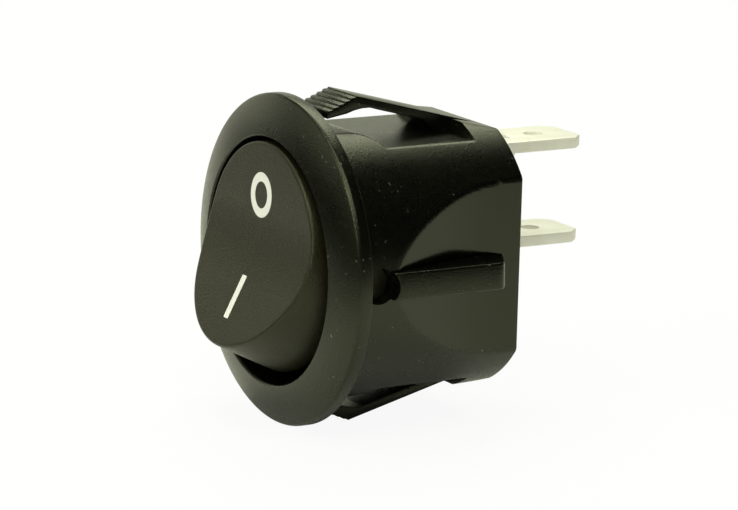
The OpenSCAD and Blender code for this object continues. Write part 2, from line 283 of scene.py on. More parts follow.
# %% Classes for a net and for a material
class Net:
    def __init__(self, tree):
        self.tree = tree

    def node(self, kind, settings=None, inputs=None, output=0):
        made = self.tree.nodes.new(kind)
        for key, value in (settings or {}).items():
            setattr(made, key, value)
        for key, value in (inputs or {}).items():
            self.feed(made.inputs[key], value)
        return Sock(self, made.outputs[output])

    def feed(self, socket, value):
        if isinstance(value, Sock):
            self.tree.links.new(value.socket, socket)
        else:
            socket.default_value = value


class Shade(Net):
    def __init__(self, name):
        self.material = bpy.data.materials.new(name)
        self.material.use_nodes = True
        super().__init__(self.material.node_tree)
        self.surface = self.tree.nodes["Principled BSDF"]
        self.place = self.node("ShaderNodeTexCoord", output="Object")

    def set(self, **values):
        for key, value in values.items():
            self.feed(self.surface.inputs[key.replace("_", " ")], value)

    def noise(self, scale, detail=2.0, rough=0.5, vector=None):
        return self.node("ShaderNodeTexNoise", {}, {"Vector": vector or self.place, "Scale": scale,
                                                    "Detail": detail, "Roughness": rough})

    def axis(self, letter, vector=None):
        return self.node("ShaderNodeSeparateXYZ", {}, {0: vector or self.place},
                         "XYZ".index(letter))

    def normal(self):
        return self.node("ShaderNodeNewGeometry", output="Normal")

    def blend(self, share, first, second):
        return self.node("ShaderNodeMix", {"data_type": "RGBA"}, {0: share, 6: first, 7: second}, 2)

    def bump(self, height, distance):
        return self.node("ShaderNodeBump", {}, {"Height": height, "Distance": distance,
                                                "Strength": 1.0})


def grey(value, tint=(1.0, 1.0, 1.0)):
    return (value * tint[0], value * tint[1], value * tint[2], 1.0)


print("white is", grey(1.0))

# %% [markdown]
# ## The light
#
# Black gloss is seen almost only by what it mirrors. In a studio that is white all round, the
# barrel would mirror white everywhere and turn a flat grey. So the air of this studio is dark to
# the object, and white only to the camera: Light Path tells the two apart, and a Mix Shader puts
# plain white at strength 1 wherever the camera itself looks.

# %% Make the air dark to the object and white to the camera
VIEW = bpy.context.scene.view_settings
VIEW.view_transform = "Standard"
AIR_LIGHT = 0.0


def white_to_camera(net, glow, seen_otherwise, share):
    seen = net.node("ShaderNodeLightPath", output="Is Camera Ray") * share
    white = net.node(glow, {}, {"Color": grey(1.0), "Strength": 1.0})
    mix = net.node("ShaderNodeMixShader", {}, {0: seen, 1: seen_otherwise, 2: white})
    end = [node for node in net.tree.nodes if node.type.startswith("OUTPUT")][0]
    net.feed(end.inputs["Surface"], mix)


def fill_with_air():
    world = bpy.data.worlds.new("studio")
    world.use_nodes = True
    bpy.context.scene.world = world
    net = Net(world.node_tree)
    air = net.tree.nodes["Background"]
    net.feed(air.inputs["Color"], grey(1.0))
    net.feed(air.inputs["Strength"], AIR_LIGHT)
    white_to_camera(net, "ShaderNodeBackground", Sock(net, air.outputs[0]), 1.0)
    return world


print("air:", fill_with_air().name)

# %% [markdown]
# What the object does mirror is nine soft panels, each a third of a metre away. Three low ones
# behind draw the pale bands along the arm and the top of the barrel, the two large ones high up
# give the bezel, the flats and the foot of the barrel their tone, and the rest light the faces of
# the bezel and the rocker. They are a touch warm, and weak, because they are so near.

# %% Hang the panels
LAMP_TINT = (1.0, 1.02, 0.78)
PANEL_DISTANCE = 0.32
PANEL_AIM = Vector((0, 0.005, 0))
PANELS = (  # name, turn and height in degrees, width and height in metres, watts
    ("back_panel", 150, 9.5, (0.34, 0.16), 0.14),
    ("back_left_panel", 195, 14, (0.2, 0.15), 0.092),
    ("back_right_panel", 100, 10, (0.1, 0.1), 0.06),
    ("high_back_panel", 150, 55, (0.24, 0.2), 0.56),
    ("high_front_panel", -30, 55, (0.24, 0.2), 0.46),
    ("high_left_panel", -120, 50, (0.24, 0.2), 0.06),
    ("left_panel", -122, 24, (0.16, 0.12), 0.06),
    ("top_panel", -95, 72, (0.1, 0.08), 0.1),
    ("front_panel", -78, 28, (0.16, 0.14), 0.33),
)


def soft_panel(name, turn, height, size, power):
    turn, height = math.radians(turn), math.radians(height)
    away = Vector((math.cos(turn) * math.cos(height), math.sin(turn) * math.cos(height),
                   math.sin(height)))
    data = bpy.data.lights.new(name, "AREA")
    data.shape = "RECTANGLE"
    data.size, data.size_y = size
    data.energy = power
    data.color = LAMP_TINT
    panel = bpy.data.objects.new(name, data)
    panel.location = PANEL_AIM + away * PANEL_DISTANCE
    panel.rotation_euler = (-away).to_track_quat("-Z", "Y").to_euler()
    bpy.context.scene.collection.objects.link(panel)
    return panel


print("panels:", [soft_panel(*row).name for row in PANELS])

# %% [markdown]
# The switch stands on a sheet of white paper, the sweep. It reaches well past the object behind
# and to the left, but ends close in front, because black gloss would mirror a white sheet there.
# Its paper is coloured with the other finishes, near the end of the lesson.

# %% Lay the sweep
FLOOR_Z = cad_low.z - 0.00002
SWEEP_LEFT, SWEEP_RIGHT = -0.4, 0.14
SWEEP_FRONT, SWEEP_BACK = -0.065, 0.4


def lay_floor():
    bm = bmesh.new()
    corners = ((SWEEP_LEFT, SWEEP_FRONT), (SWEEP_RIGHT, SWEEP_FRONT),
               (SWEEP_RIGHT, SWEEP_BACK), (SWEEP_LEFT, SWEEP_BACK))
    bm.faces.new([bm.verts.new((x, y, FLOOR_Z)) for x, y in corners])
    floor = finish_mesh("floor", bm)
    floor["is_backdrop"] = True
    return floor


floor = lay_floor()
print("floor at", round(FLOOR_Z, 5))

# %% [markdown]
# ## The moulded housing
#
# The real housing comes out of the mould in one piece, so it is made as one mesh here too. Its
# barrel is a cylinder with a flat sloping in on each side, a channel along the top and another
# along the bottom, and a back that slopes down where each arm runs out.
#
# Each of those is the same idea: a surface that holds the radius in. So the barrel starts as a
# circle extruded backwards in many short steps, and then every point takes the smallest of the
# radii that the surfaces allow there. A soft minimum is used, which rolls the edges over the way
# a mould does, and no edge has to be bevelled afterwards.
#
# Two places bend gently instead of creasing: the knee where a side flat stops sloping, and the
# shoulder where the arm's slope runs on over the back of the barrel.

# %% Surfaces that bound the barrel
FLAT_HALF = 7.85
FLAT_START, FLAT_END = 2.75, 9.95
FLAT_KNEE = 0.4
LAND_Z, CHANNEL_Z = 9.27, 8.4
LAND_END, CHANNEL_END = 2.35, 11.4
RIDGE_Y, RIDGE_Z = 3.85, 11.45
ROOT_Z, SHOULDER = 8.9, 0.15
ARM_SLOPE = (RIDGE_Z - ROOT_Z) / (BARREL_L - RIDGE_Y)
LAND_RUN = 1.35
EDGE_SOFTNESS = 0.014
REAR_ROUND = 0.1


def flat_at(y):
    slope = (BARREL_R - FLAT_HALF) / (FLAT_END - FLAT_START)
    above = BARREL_R - (y - FLAT_START) * slope - FLAT_HALF
    return FLAT_HALF + FLAT_KNEE * math.log(1 + math.exp(above / FLAT_KNEE))


def channel_at(y):
    if y < LAND_END:
        return LAND_Z
    if y > CHANNEL_END:
        sunk = SHOULDER * (BARREL_L - y) / (BARREL_L - CHANNEL_END)
        return RIDGE_Z - ARM_SLOPE * (y - RIDGE_Y) - sunk
    drop = LAND_Z - CHANNEL_Z
    run = (y - LAND_END) / LAND_RUN
    curve = 2 * drop
    return CHANNEL_Z - drop + math.sqrt(max(curve * curve - run * run, drop * drop))


def soft_min(values, softness):
    least = min(values)
    total = sum(math.exp((least - value) / softness) for value in values)
    return least - softness * math.log(total)


def barrel_radius(angle, y):
    across, along = abs(math.cos(angle)), abs(math.sin(angle))
    values = [BARREL_R, flat_at(y) / max(across, 0.01), channel_at(y) / max(along, 0.01)]
    into_round = max(y - (BARREL_L - REAR_ROUND), 0)
    inset = REAR_ROUND - math.sqrt(max(REAR_ROUND ** 2 - into_round ** 2, 0))
    return soft_min(values, EDGE_SOFTNESS) - inset


print("barrel radius at the flat:", round(barrel_radius(0, 12), 3), "and in the channel:",
      round(barrel_radius(math.pi / 2, 8), 3))

# %% [markdown]
# The stations are the depths at which the barrel gets a ring of points. They lie closest where the
# shape turns quickly, at the end of the channel and round the rear edge.

# %% Extrude the barrel through its stations
BARREL_SEGMENTS = 320
INTO_BEZEL, BARREL_START = -0.3, 0.02
FRONT_STEP, REAR_STEP = 0.14, 0.17
STEP_EDGE = 0.04
ROUND_STEPS = 6


def stations():
    marks = [INTO_BEZEL, BARREL_START]
    marks += [BARREL_START + FRONT_STEP * step for step in range(1, 80)]
    marks = [y for y in marks if y < CHANNEL_END - 0.1]
    marks += [CHANNEL_END - STEP_EDGE, CHANNEL_END + STEP_EDGE]
    marks += [CHANNEL_END + STEP_EDGE + REAR_STEP * step for step in range(1, 12)]
    marks = [y for y in marks if y < BARREL_L - REAR_ROUND - 0.05]
    for step in range(ROUND_STEPS + 1):
        share = math.sin(math.radians(90 / ROUND_STEPS * step))
        marks.append(BARREL_L - REAR_ROUND * (1 - share))
    return marks


def make_barrel():
    bm = bmesh.new()
    marks = stations()
    turn = Matrix.Translation((0, marks[0] * MM, 0)) @ Matrix.Rotation(math.radians(90), 4, "X")
    bmesh.ops.create_circle(bm, segments=BARREL_SEGMENTS, radius=BARREL_R * MM, matrix=turn,
                            cap_ends=True)
    edges = list(bm.edges)
    for before, after in zip(marks, marks[1:]):
        grown = bmesh.ops.extrude_edge_only(bm, edges=edges)["geom"]
        edges = [item for item in grown if isinstance(item, bmesh.types.BMEdge)]
        moved = [item for item in grown if isinstance(item, bmesh.types.BMVert)]
        bmesh.ops.translate(bm, verts=moved, vec=(0, (after - before) * MM, 0))
    bmesh.ops.contextual_create(bm, geom=edges)
    for vert in bm.verts:
        angle = math.atan2(vert.co.z, vert.co.x)
        radius = barrel_radius(angle, vert.co.y / MM) * MM
        vert.co.x, vert.co.z = radius * math.cos(angle), radius * math.sin(angle)
    return finish_mesh("housing_body", bm)


housing = make_barrel()
print("barrel:", len(housing.data.vertices), "points")

# %% [markdown]
# The bezel is turned: a profile of a straight rim and a domed face is spun about the barrel's
# axis. The dome is one arc and the rolled rim another, and the two meet at the same slope, so that
# no line shows between them. The lip round the opening isn't in this profile. It comes from the
# tool that cuts the well out, which flares at its mouth as a moulding's lip does.

# %% Spin the bezel
DOME_X, DOME_Y, DOME_R = 6.55, 8.775, 10.841
DOME_STEPS = 24
RIM_ROUND = 0.34
BACK_EDGE = 0.06
SPIN_STEPS = 256


def arc(centre, radius, start, end, steps):
    return [(centre[0] + radius * math.cos(math.radians(start + (end - start) * step / steps)),
             centre[1] + radius * math.sin(math.radians(start + (end - start) * step / steps)))
            for step in range(steps + 1)]


def turned(name, profile, steps=SPIN_STEPS):
    bm = bmesh.new()
    verts = [bm.verts.new((radius * MM, y * MM, 0)) for radius, y in profile]
    edges = [bm.edges.new(pair) for pair in zip(verts, verts[1:])]
    if profile[0][0] > 0:
        edges.append(bm.edges.new((verts[-1], verts[0])))
    bmesh.ops.spin(bm, geom=verts + edges, cent=(0, 0, 0), axis=(0, 1, 0), dvec=(0, 0, 0),
                   angle=math.tau, steps=steps, use_merge=True)
    return finish_mesh(name, bm)


def dome_height(radius):
    return DOME_Y - math.sqrt(DOME_R ** 2 - (radius - DOME_X) ** 2)


def bezel_profile():
    centre = BEZEL_R - RIM_ROUND
    lean = math.asin((centre - DOME_X) / (DOME_R - RIM_ROUND))
    rim_start, inner = DOME_X + DOME_R * math.sin(lean), OPENING_R - 1.5
    face = [(0, dome_height(inner))]
    for step in range(DOME_STEPS):
        radius = inner + (rim_start - inner) * step / DOME_STEPS
        face.append((radius, dome_height(radius)))
    rim_y = DOME_Y - (DOME_R - RIM_ROUND) * math.cos(lean)
    face += arc((centre, rim_y), RIM_ROUND, math.degrees(lean) - 90, 0, 8)
    face += arc((BEZEL_R - BACK_EDGE, -BACK_EDGE), BACK_EDGE, 0, 90, 3)
    return face + [(0, 0)]


bezel = turned("bezel", bezel_profile())
combine(housing, bezel, "UNION")
print("bezel joined:", len(housing.data.vertices), "points")

# %% [markdown]
# Each snap arm is a thin sprung leaf that leaves the barrel's back and runs forward over its
# channel. Its ridge is what clicks behind the panel, and the ramp in front of the ridge has
# little teeth that grip panels of different thickness. The side view holds the whole shape, so
# the arm is an outline extruded across the width, with the corners of its teeth softened. Under
# the ridge the outline curls round in four points, and behind them it runs parallel to the top.

# %% Extrude the snap arms
ARM_W = 4.0
ARM_T = 0.64
TIP_Y, RAMP_DROP = 1.6, 0.96
TIP_Z = RIDGE_Z - RAMP_DROP
TEETH, TOOTH_DEPTH = 5, 0.1
TOOTH_BACK, TOOTH_LIFT = 0.1, 0.06
ARM_EDGE = 0.05
ARM_SUNK = 1
LEAF_POINTS = (2.2, 3.2, 4.4)
LEAF_FRONT = 1.9
CURL_POINTS = ((1.1, 0.26), (0.5, 0.27), (-0.1, 0.37), (-0.7, 0.56))


def arm_outline():
    step_y, step_z = (RIDGE_Y - TIP_Y) / TEETH, RAMP_DROP / TEETH
    points = [(TIP_Y, TIP_Z - 0.5), (TIP_Y, TIP_Z - 0.02)]
    for tooth in range(TEETH):
        y, z = TIP_Y + tooth * step_y, TIP_Z + tooth * step_z
        points += [(y + TOOTH_BACK, z + TOOTH_LIFT)]
        points += [(y + step_y - 0.02, z + step_z - TOOTH_DEPTH), (y + step_y, z + step_z)]
    points += [(BARREL_L - 0.1, ROOT_Z), (BARREL_L - 0.1, CHANNEL_Z - ARM_SUNK),
               (CHANNEL_END, CHANNEL_Z - ARM_SUNK)]
    for back in LEAF_POINTS:
        y = CHANNEL_END - back
        points.append((y, RIDGE_Z - ARM_SLOPE * (y - RIDGE_Y) - ARM_T))
    points.append((RIDGE_Y + LEAF_FRONT, RIDGE_Z - ARM_SLOPE * LEAF_FRONT - ARM_T))
    points += [(RIDGE_Y + behind, RIDGE_Z - ARM_T - drop) for behind, drop in CURL_POINTS]
    return points


def snap_arm(side):
    points = [(-ARM_W / 2, y, side * z) for y, z in arm_outline()]
    return slab("snap_arm", points, (ARM_W, 0, 0), edge=ARM_EDGE, segments=2)


for side in (1, -1):
    combine(housing, snap_arm(side), "UNION")
print("arms joined:", len(housing.data.vertices), "points")

# %% [markdown]
# On each side a square rib stops the switch from turning in its hole. It starts at the hole that
# the rocker's trunnion sits in and ends in a short ramp. Its outer face leans by a tenth of a
# millimetre, which is the draft that lets it out of the mould.

# %% Extrude the key ribs
RIB_W, RIB_OUT, RIB_END = 1.85, 10.62, 11.1
RIB_BEVEL, RIB_EDGE, RIB_DRAFT = 0.25, 0.16, 0.06
RIB_SUNK = 1
RIB_ROLL = ((0, 0.5), (0.1, 0.2), (0.35, -0.02))
RIB_RAMP, RIB_RAMP_FOOT = 1.3, 1.6
HOLE_R = 1.25


def key_rib(side):
    points = [(FLAT_HALF - RIB_SUNK, PIVOT_Y), (RIB_OUT - RIB_BEVEL, PIVOT_Y),
              (RIB_OUT, PIVOT_Y + HOLE_R + RIB_BEVEL)]
    points += [(RIB_OUT - inwards, RIB_END - ahead) for inwards, ahead in RIB_ROLL]
    points += [(FLAT_HALF, RIB_END + RIB_RAMP), (FLAT_HALF - RIB_SUNK, RIB_END + RIB_RAMP_FOOT)]
    points = [(side * x, y, -RIB_W / 2) for x, y in points]
    rib = slab("key_rib", points, (0, 0, RIB_W), edge=RIB_EDGE, segments=4)
    for vert in rib.data.vertices:
        vert.co.x -= side * RIB_DRAFT * (vert.co.z + RIB_W / 2 * MM)
    return rib


for side in (1, -1):
    combine(housing, key_rib(side), "UNION")
print("ribs joined:", len(housing.data.vertices), "points")

# %% [markdown]
# Last come the hollows: the round well with its rolled lip, the contact chamber behind it and the
# two slots in the rear wall. Each tool is a closed solid that reaches a little past what it cuts,
# so that the housing stays closed too and no face is left lying on another.

# %% Cut the well, the chamber and the slots
LIP_ROUND = 0.27
REAR_WALL = 2.0
CHAMBER_W, CHAMBER_H = 10.4, 14.7
SLOT_W, SLOT_T = 4.9, 0.9
BLADE_PITCH, BLADE_RISE = 6.8, 0.15
OVERLAP = 0.02
CLEAR = 1


def well_profile():
    mouth = -LIP_H + LIP_ROUND
    lip = arc((OPENING_R + LIP_ROUND, mouth), LIP_ROUND, 180, 270, 6)
    return ([(0, WELL_DEPTH), (OPENING_R, WELL_DEPTH)] + lip
            + [(OPENING_R + LIP_ROUND, -LIP_H - CLEAR), (0, -LIP_H - CLEAR)])


def box_tool(name, low, high):
    points = [(low[0], low[1], low[2]), (high[0], low[1], low[2]),
              (high[0], high[1], low[2]), (low[0], high[1], low[2])]
    return slab(name, points, (0, 0, high[2] - low[2]))


combine(housing, turned("well_tool", well_profile()), "DIFFERENCE")
chamber_low = (-CHAMBER_W / 2, WELL_DEPTH - OVERLAP, -CHAMBER_H / 2)
chamber_high = (CHAMBER_W / 2, BARREL_L - REAR_WALL, CHAMBER_H / 2)
combine(housing, box_tool("chamber_tool", chamber_low, chamber_high), "DIFFERENCE")
for height in (BLADE_RISE, BLADE_PITCH + BLADE_RISE):
    low = (-SLOT_W / 2, BARREL_L - REAR_WALL - CLEAR, height - SLOT_T / 2)
    high = (SLOT_W / 2, BARREL_L + CLEAR, height + SLOT_T / 2)
    combine(housing, box_tool("slot_tool", low, high), "DIFFERENCE")
print("hollows cut:", len(housing.data.vertices), "points")

# %% [markdown]
# The rocker's trunnions turn in one round hole that runs through both sides. `round_tool` makes a
# cylinder between two heights on its own axis and then turns it and sets it in place. It comes
# back for the trunnions themselves and for the holes in the blades. With that the housing is
# finished, so it is set to ride on the housing's body, and the imported housing is hidden.

# %% Cut the trunnion hole and finish the housing
def round_tool(name, radius, low, high, place, turn, segments=96):
    bm = bmesh.new()
    matrix = (Matrix.Translation(Vector(place) * MM) @ turn
              @ Matrix.Translation((0, 0, (low + high) / 2 * MM)))
    bmesh.ops.create_cone(bm, cap_ends=True, segments=segments, radius1=radius * MM,
                          radius2=radius * MM, depth=(high - low) * MM, matrix=matrix)
    return finish_mesh(name, bm)


SIDEWAYS = Matrix.Rotation(math.radians(90), 4, "Y")
PAST_SIDES = 12
trunnion_tool = round_tool("trunnion_tool", HOLE_R, -PAST_SIDES, PAST_SIDES, (0, PIVOT_Y, 0),
                           SIDEWAYS)
combine(housing, trunnion_tool, "DIFFERENCE")
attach(housing, "housing")
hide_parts("housing")
print("housing:", len(housing.data.vertices), "points,", len(housing.data.polygons), "faces")

# %% [markdown]
# ## The rocker
#
# The rocker is a thin moulded cup, hollow behind. Seen from the front it is round. Its face is
# two straight slopes with a wide valley between them, and its skirt flares as it goes back, so
# that it comes out of the mould.
#
# It is made like the barrel: one circle extruded through many rings, over the face, round the
# edge, down the skirt and back up inside. Each ring is then shaped by the same few rules as a
# section through the cup, and the edge between the face and the skirt is rolled over with a curve
# between two points, which is what a polished mould leaves.
#
# Where the slope of the face meets the flare of the skirt has no plain formula, so `rim_point`
# guesses a radius and corrects it a dozen times, which is more than it needs.

# %% Rules for the shape of the cup
FACE_R, SKIRT_R = 7.15, 8.15
VALLEY_H, VALLEY_R = 4.17, 12.0
FACE_SLOPE = math.radians(12.5)
SKIRT_FOOT, WALL = 0.6, 1.2
EDGE_ROUND = 0.24
RIM_TRIES = 12
VALLEY_HALF = VALLEY_R * math.sin(FACE_SLOPE)


def face_height(z):
    z = abs(z)
    if z < VALLEY_HALF:
        return VALLEY_H + VALLEY_R - math.sqrt(VALLEY_R ** 2 - z ** 2)
    return (VALLEY_H + VALLEY_R * (1 - math.cos(FACE_SLOPE))
            + (z - VALLEY_HALF) * math.tan(FACE_SLOPE))


DRAFT = (SKIRT_R - FACE_R) / (face_height(FACE_R) - SKIRT_FOOT)


def skirt_radius(depth, inset=0.0):
    return SKIRT_R - inset - (depth - SKIRT_FOOT) * DRAFT


def rim_point(angle, inset):
    radius = FACE_R - inset
    for _ in range(RIM_TRIES):
        depth = face_height(radius * math.sin(angle)) - inset
        radius = skirt_radius(depth, inset)
    return radius, depth


def face_point(angle, radius, inset):
    return radius, face_height(radius * math.sin(angle)) - inset


def rolled_edge(angle, inset, size, share):
    corner = Vector(rim_point(angle, inset))
    on_face = Vector(face_point(angle, corner.x - size, inset))
    on_skirt = Vector((skirt_radius(corner.y - size, inset), corner.y - size))
    return tuple(on_face.lerp(corner, share).lerp(corner.lerp(on_skirt, share), share))


print("face edge", round(face_height(FACE_R), 3), "mm in front of the axis, draft", round(DRAFT, 3))

# %% [markdown]
# Now the rings are listed in the order in which they are extruded. Each is a small function that
# takes the angle round the cup and gives the radius and the height of the ring's point there: the
# face from its middle outwards, the rolled edge, the skirt down to its foot, and then the same
# again inside, backwards and thinner by the wall.

# %% List the rings of the cup
FACE_RINGS, EDGE_RINGS, SKIRT_RINGS, INNER_RINGS = 44, 8, 14, 24
FOOT_ROUND, FOOT_INSIDE = 0.12, 0.05


def flat_ring(inset, share):
    return lambda angle: face_point(angle, (rim_point(angle, inset)[0] - EDGE_ROUND) * share, inset)


def edge_ring(inset, share):
    return lambda angle: rolled_edge(angle, inset, EDGE_ROUND, share)


def skirt_ring(inset, foot, share):
    def ring(angle):
        top = rim_point(angle, inset)[1] - EDGE_ROUND
        depth = top + (foot - top) * share
        return skirt_radius(depth, inset), depth
    return ring


def foot_ring(inset, lift=0.0):
    return lambda angle: (skirt_radius(SKIRT_FOOT, inset), SKIRT_FOOT + lift)


def cup_rings():
    rings = [flat_ring(0, step / FACE_RINGS) for step in range(1, FACE_RINGS)]
    rings += [edge_ring(0, step / EDGE_RINGS) for step in range(EDGE_RINGS + 1)]
    rings += [skirt_ring(0, SKIRT_FOOT + FOOT_ROUND, step / SKIRT_RINGS)
              for step in range(1, SKIRT_RINGS + 1)]
    rings += [foot_ring(0.04, lift=0.04), foot_ring(0.14), foot_ring(WALL - FOOT_INSIDE)]
    rings += [skirt_ring(WALL, SKIRT_FOOT + FOOT_INSIDE, 1 - step / SKIRT_RINGS)
              for step in range(SKIRT_RINGS + 1)]
    rings += [edge_ring(WALL, 1 - step / EDGE_RINGS) for step in range(1, EDGE_RINGS + 1)]
    rings += [flat_ring(WALL, 1 - step / INNER_RINGS) for step in range(1, INNER_RINGS)]
    return rings


RULES = cup_rings()
print("rings:", len(RULES))

# %% [markdown]
# The extrusion only has to make as many rings as there are rules. Then each point is sent to the
# place that its ring's rule gives for its angle, so the cup stays one closed skin.

# %% Extrude the cup through its rings
CUP_SEGMENTS = 288
TO_ROCKER = Matrix.Translation((0, PIVOT_Y * MM, 0)) @ Matrix.Rotation(-TILT, 4, "X")


def make_cup():
    bm = bmesh.new()
    ring = bmesh.ops.create_circle(bm, segments=CUP_SEGMENTS, radius=MM, cap_ends=True)["verts"]
    rings, edges = [ring], list(bm.edges)
    for _ in RULES[1:]:
        grown = bmesh.ops.extrude_edge_only(bm, edges=edges)["geom"]
        edges = [item for item in grown if isinstance(item, bmesh.types.BMEdge)]
        rings.append([item for item in grown if isinstance(item, bmesh.types.BMVert)])
        bmesh.ops.translate(bm, verts=rings[-1], vec=(0, 0, MM))
    bmesh.ops.contextual_create(bm, geom=edges)
    for verts, rule in zip(rings, RULES):
        for vert in verts:
            angle = math.atan2(vert.co.y, vert.co.x)
            radius, depth = rule(angle)
            vert.co = Vector((radius * math.cos(angle), -depth, radius * math.sin(angle))) * MM
    return finish_mesh("rocker_cup", bm)


rocker = make_cup()
print("cup:", len(rocker.data.vertices), "points")

# %% [markdown]
# Behind its face the rocker has what makes it work: two ears with the trunnions that it turns on,
# and a post with a bore for the sprung pusher, tied to the skirt by a thin web. They hardly show,
# so each is a plain solid joined to the cup. All of this is made with the rocker level, and its
# mesh is tipped to the O end at the last.

# %% Join the ears, the trunnions and the post
EAR_R, TRUNNION_R = 1.8, 1.2
EAR_IN, EAR_OUT, TRUNNION_END = 7.05, 8.0, 8.75
POST_R, BORE_R, POST_END = 2.2, 1.3, 3.8
POST_CHAMFER, BORE_FLARE, MOUTH = 0.15, 0.15, 0.1
POST_STEPS = 96
WEB_T, WEB_TAPER = 1, 0.5
ROOF = VALLEY_H - WALL
IN_ROOF = -ROOF - 0.5


def post_profile():
    return [(0, IN_ROOF), (POST_R, IN_ROOF), (POST_R, POST_END - POST_CHAMFER),
            (POST_R - POST_CHAMFER, POST_END), (0, POST_END)]


def bore_profile():
    return [(0, -ROOF), (BORE_R, -ROOF), (BORE_R, POST_END - MOUTH),
            (BORE_R + BORE_FLARE, POST_END + MOUTH), (0, POST_END + MOUTH)]


def web_outline():
    end, foot = SKIRT_R - WALL / 2, -SKIRT_FOOT - FOOT_INSIDE
    points = [(-end, foot), (end, foot), (end - WEB_TAPER, IN_ROOF), (-end + WEB_TAPER, IN_ROOF)]
    return [(x, y, -WEB_T / 2) for x, y in points]


for side in (1, -1):
    for name, radius, end in (("ear", EAR_R, EAR_OUT), ("trunnion", TRUNNION_R, TRUNNION_END)):
        low, high = sorted((side * EAR_IN, side * end))
        combine(rocker, round_tool(name, radius, low, high, (0, 0, 0), SIDEWAYS), "UNION")
combine(rocker, turned("post", post_profile(), steps=POST_STEPS), "UNION")
combine(rocker, slab("web", web_outline(), (0, 0, WEB_T)), "UNION")
combine(rocker, turned("bore", bore_profile(), steps=POST_STEPS), "DIFFERENCE")
rocker.data.transform(TO_ROCKER)
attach(rocker, "rocker")
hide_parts("rocker")
print("rocker:", len(rocker.data.vertices), "points")

# %% [markdown]
# The O and the I are printed on the face with a rubber pad that carries white ink, so they follow
# the slope of the face and stand hardly proud of it. Each mark is a thin solid whose front is laid
# on the face, a hundredth of a millimetre out, and whose back is sunk into the plastic.
#
# The O is a spun ring, pulled to an oval with the same stroke all round.

# %% Lay the O on the face
PRINT_LIFT, PRINT_SINK, PRINT_SHIFT = 0.012, 0.05, -0.25
O_CENTRE, O_HALF_WIDE, O_HALF_TALL, O_STROKE = 3.53, 1.47, 1.53, 0.62
O_STEPS = 96


def lay_on_face(bm):
    for vert in bm.verts:
        lift = PRINT_LIFT if vert.co.y < 0 else -PRINT_SINK
        vert.co.y = -(face_height(vert.co.z / MM) + lift) * MM
        vert.co.x += PRINT_SHIFT * MM
    bm.transform(TO_ROCKER)


def mark_off():
    bm = bmesh.new()
    inside = 1 - O_STROKE / O_HALF_TALL
    section = [(inside, -1), (1, -1), (1, 1), (inside, 1)]
    verts = [bm.verts.new((radius * MM, y * MM, 0)) for radius, y in section]
    edges = [bm.edges.new((verts[step - 1], verts[step])) for step in range(4)]
    bmesh.ops.spin(bm, geom=verts + edges, cent=(0, 0, 0), axis=(0, 1, 0), dvec=(0, 0, 0),
                   angle=math.tau, steps=O_STEPS, use_merge=True)
    for vert in bm.verts:
        reach = math.hypot(vert.co.x, vert.co.z)
        stroke = O_STROKE if reach < 0.99 * MM else 0.0
        wide, tall = O_HALF_WIDE - stroke, O_HALF_TALL - stroke
        vert.co.x *= wide * MM / reach
        vert.co.z = vert.co.z * tall * MM / reach + O_CENTRE * MM
    lay_on_face(bm)
    return finish_mesh("mark_off", bm)


marks = [mark_off()]
print("O:", len(marks[0].data.vertices), "points")

# %% [markdown]
# The I is a bar with its four upright corners rounded. A straight bar has points only at its ends,
# so it is cut into twelve lengths first, and then it can bend with the face.

# %% Lay the I on the face
I_LOW, I_HIGH, I_STROKE = -5.22, -2.1, 0.6
I_CORNER, I_CUTS = 0.08, 12


def mark_on():
    bm = bmesh.new()
    middle = (I_LOW + I_HIGH) / 2
    size = (I_STROKE * MM, 2 * MM, (I_HIGH - I_LOW) * MM)
    place = Matrix.Translation((0, 0, middle * MM)) @ Matrix.Diagonal((*size, 1.0))
    bmesh.ops.create_cube(bm, size=1.0, matrix=place)
    upright = [edge for edge in bm.edges if abs(edge.verts[0].co.y - edge.verts[1].co.y) > MM]
    bmesh.ops.bevel(bm, geom=upright, offset=I_CORNER * MM, offset_type="OFFSET",
                    affect="EDGES", segments=4, profile=0.5, material=-1)
    for step in range(1, I_CUTS):
        height = I_LOW + (I_HIGH - I_LOW) * step / I_CUTS
        bmesh.ops.bisect_plane(bm, geom=list(bm.verts) + list(bm.edges) + list(bm.faces),
                               plane_co=(0, 0, height * MM), plane_no=(0, 0, 1))
    lay_on_face(bm)
    return finish_mesh("mark_on", bm)


marks.append(mark_on())
for mark in marks:
    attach(mark, "rocker")
print("marks:", [len(mark.data.vertices) for mark in marks])

# %% [markdown]
# ## The two blades
#
# Each blade is stamped from brass strip and tinned. It carries the bevelled end and the wire hole
# of a push-on terminal, and a tongue is struck down out of a window in it, which springs out
# behind the rear wall and locks the blade in. The outline is cut from flat sheet, so each blade is
# a slab with broken edges, and the window and the hole are cut out of it.

# %% Cut the blades from sheet
BLADE_W, BLADE_T = 4.8, 0.8
BLADE_BEVEL = 0.8
WIRE_HOLE_R, WIRE_HOLE_AT = 0.7, 2.9
TONGUE_W, TONGUE_L, TONGUE_T, TONGUE_DROP = 1.6, 3.9, 0.4, 0.9
TONGUE_BEND = (0.1, 0.35, 0.4, 0.7)
TONGUE_ROOT = BARREL_L + 0.05 + TONGUE_L
SHEAR_EDGE, TONGUE_EDGE = 0.07, 0.04
SADDLE_LAP = 0.05


def blade_outline(root, height):
    half = BLADE_W / 2
    points = [(-half, root), (half, root), (half, BLADE_END - BLADE_BEVEL),
              (half - BLADE_BEVEL, BLADE_END), (-half + BLADE_BEVEL, BLADE_END),
              (-half, BLADE_END - BLADE_BEVEL)]
    return [(x, y, height - BLADE_T / 2) for x, y in points]


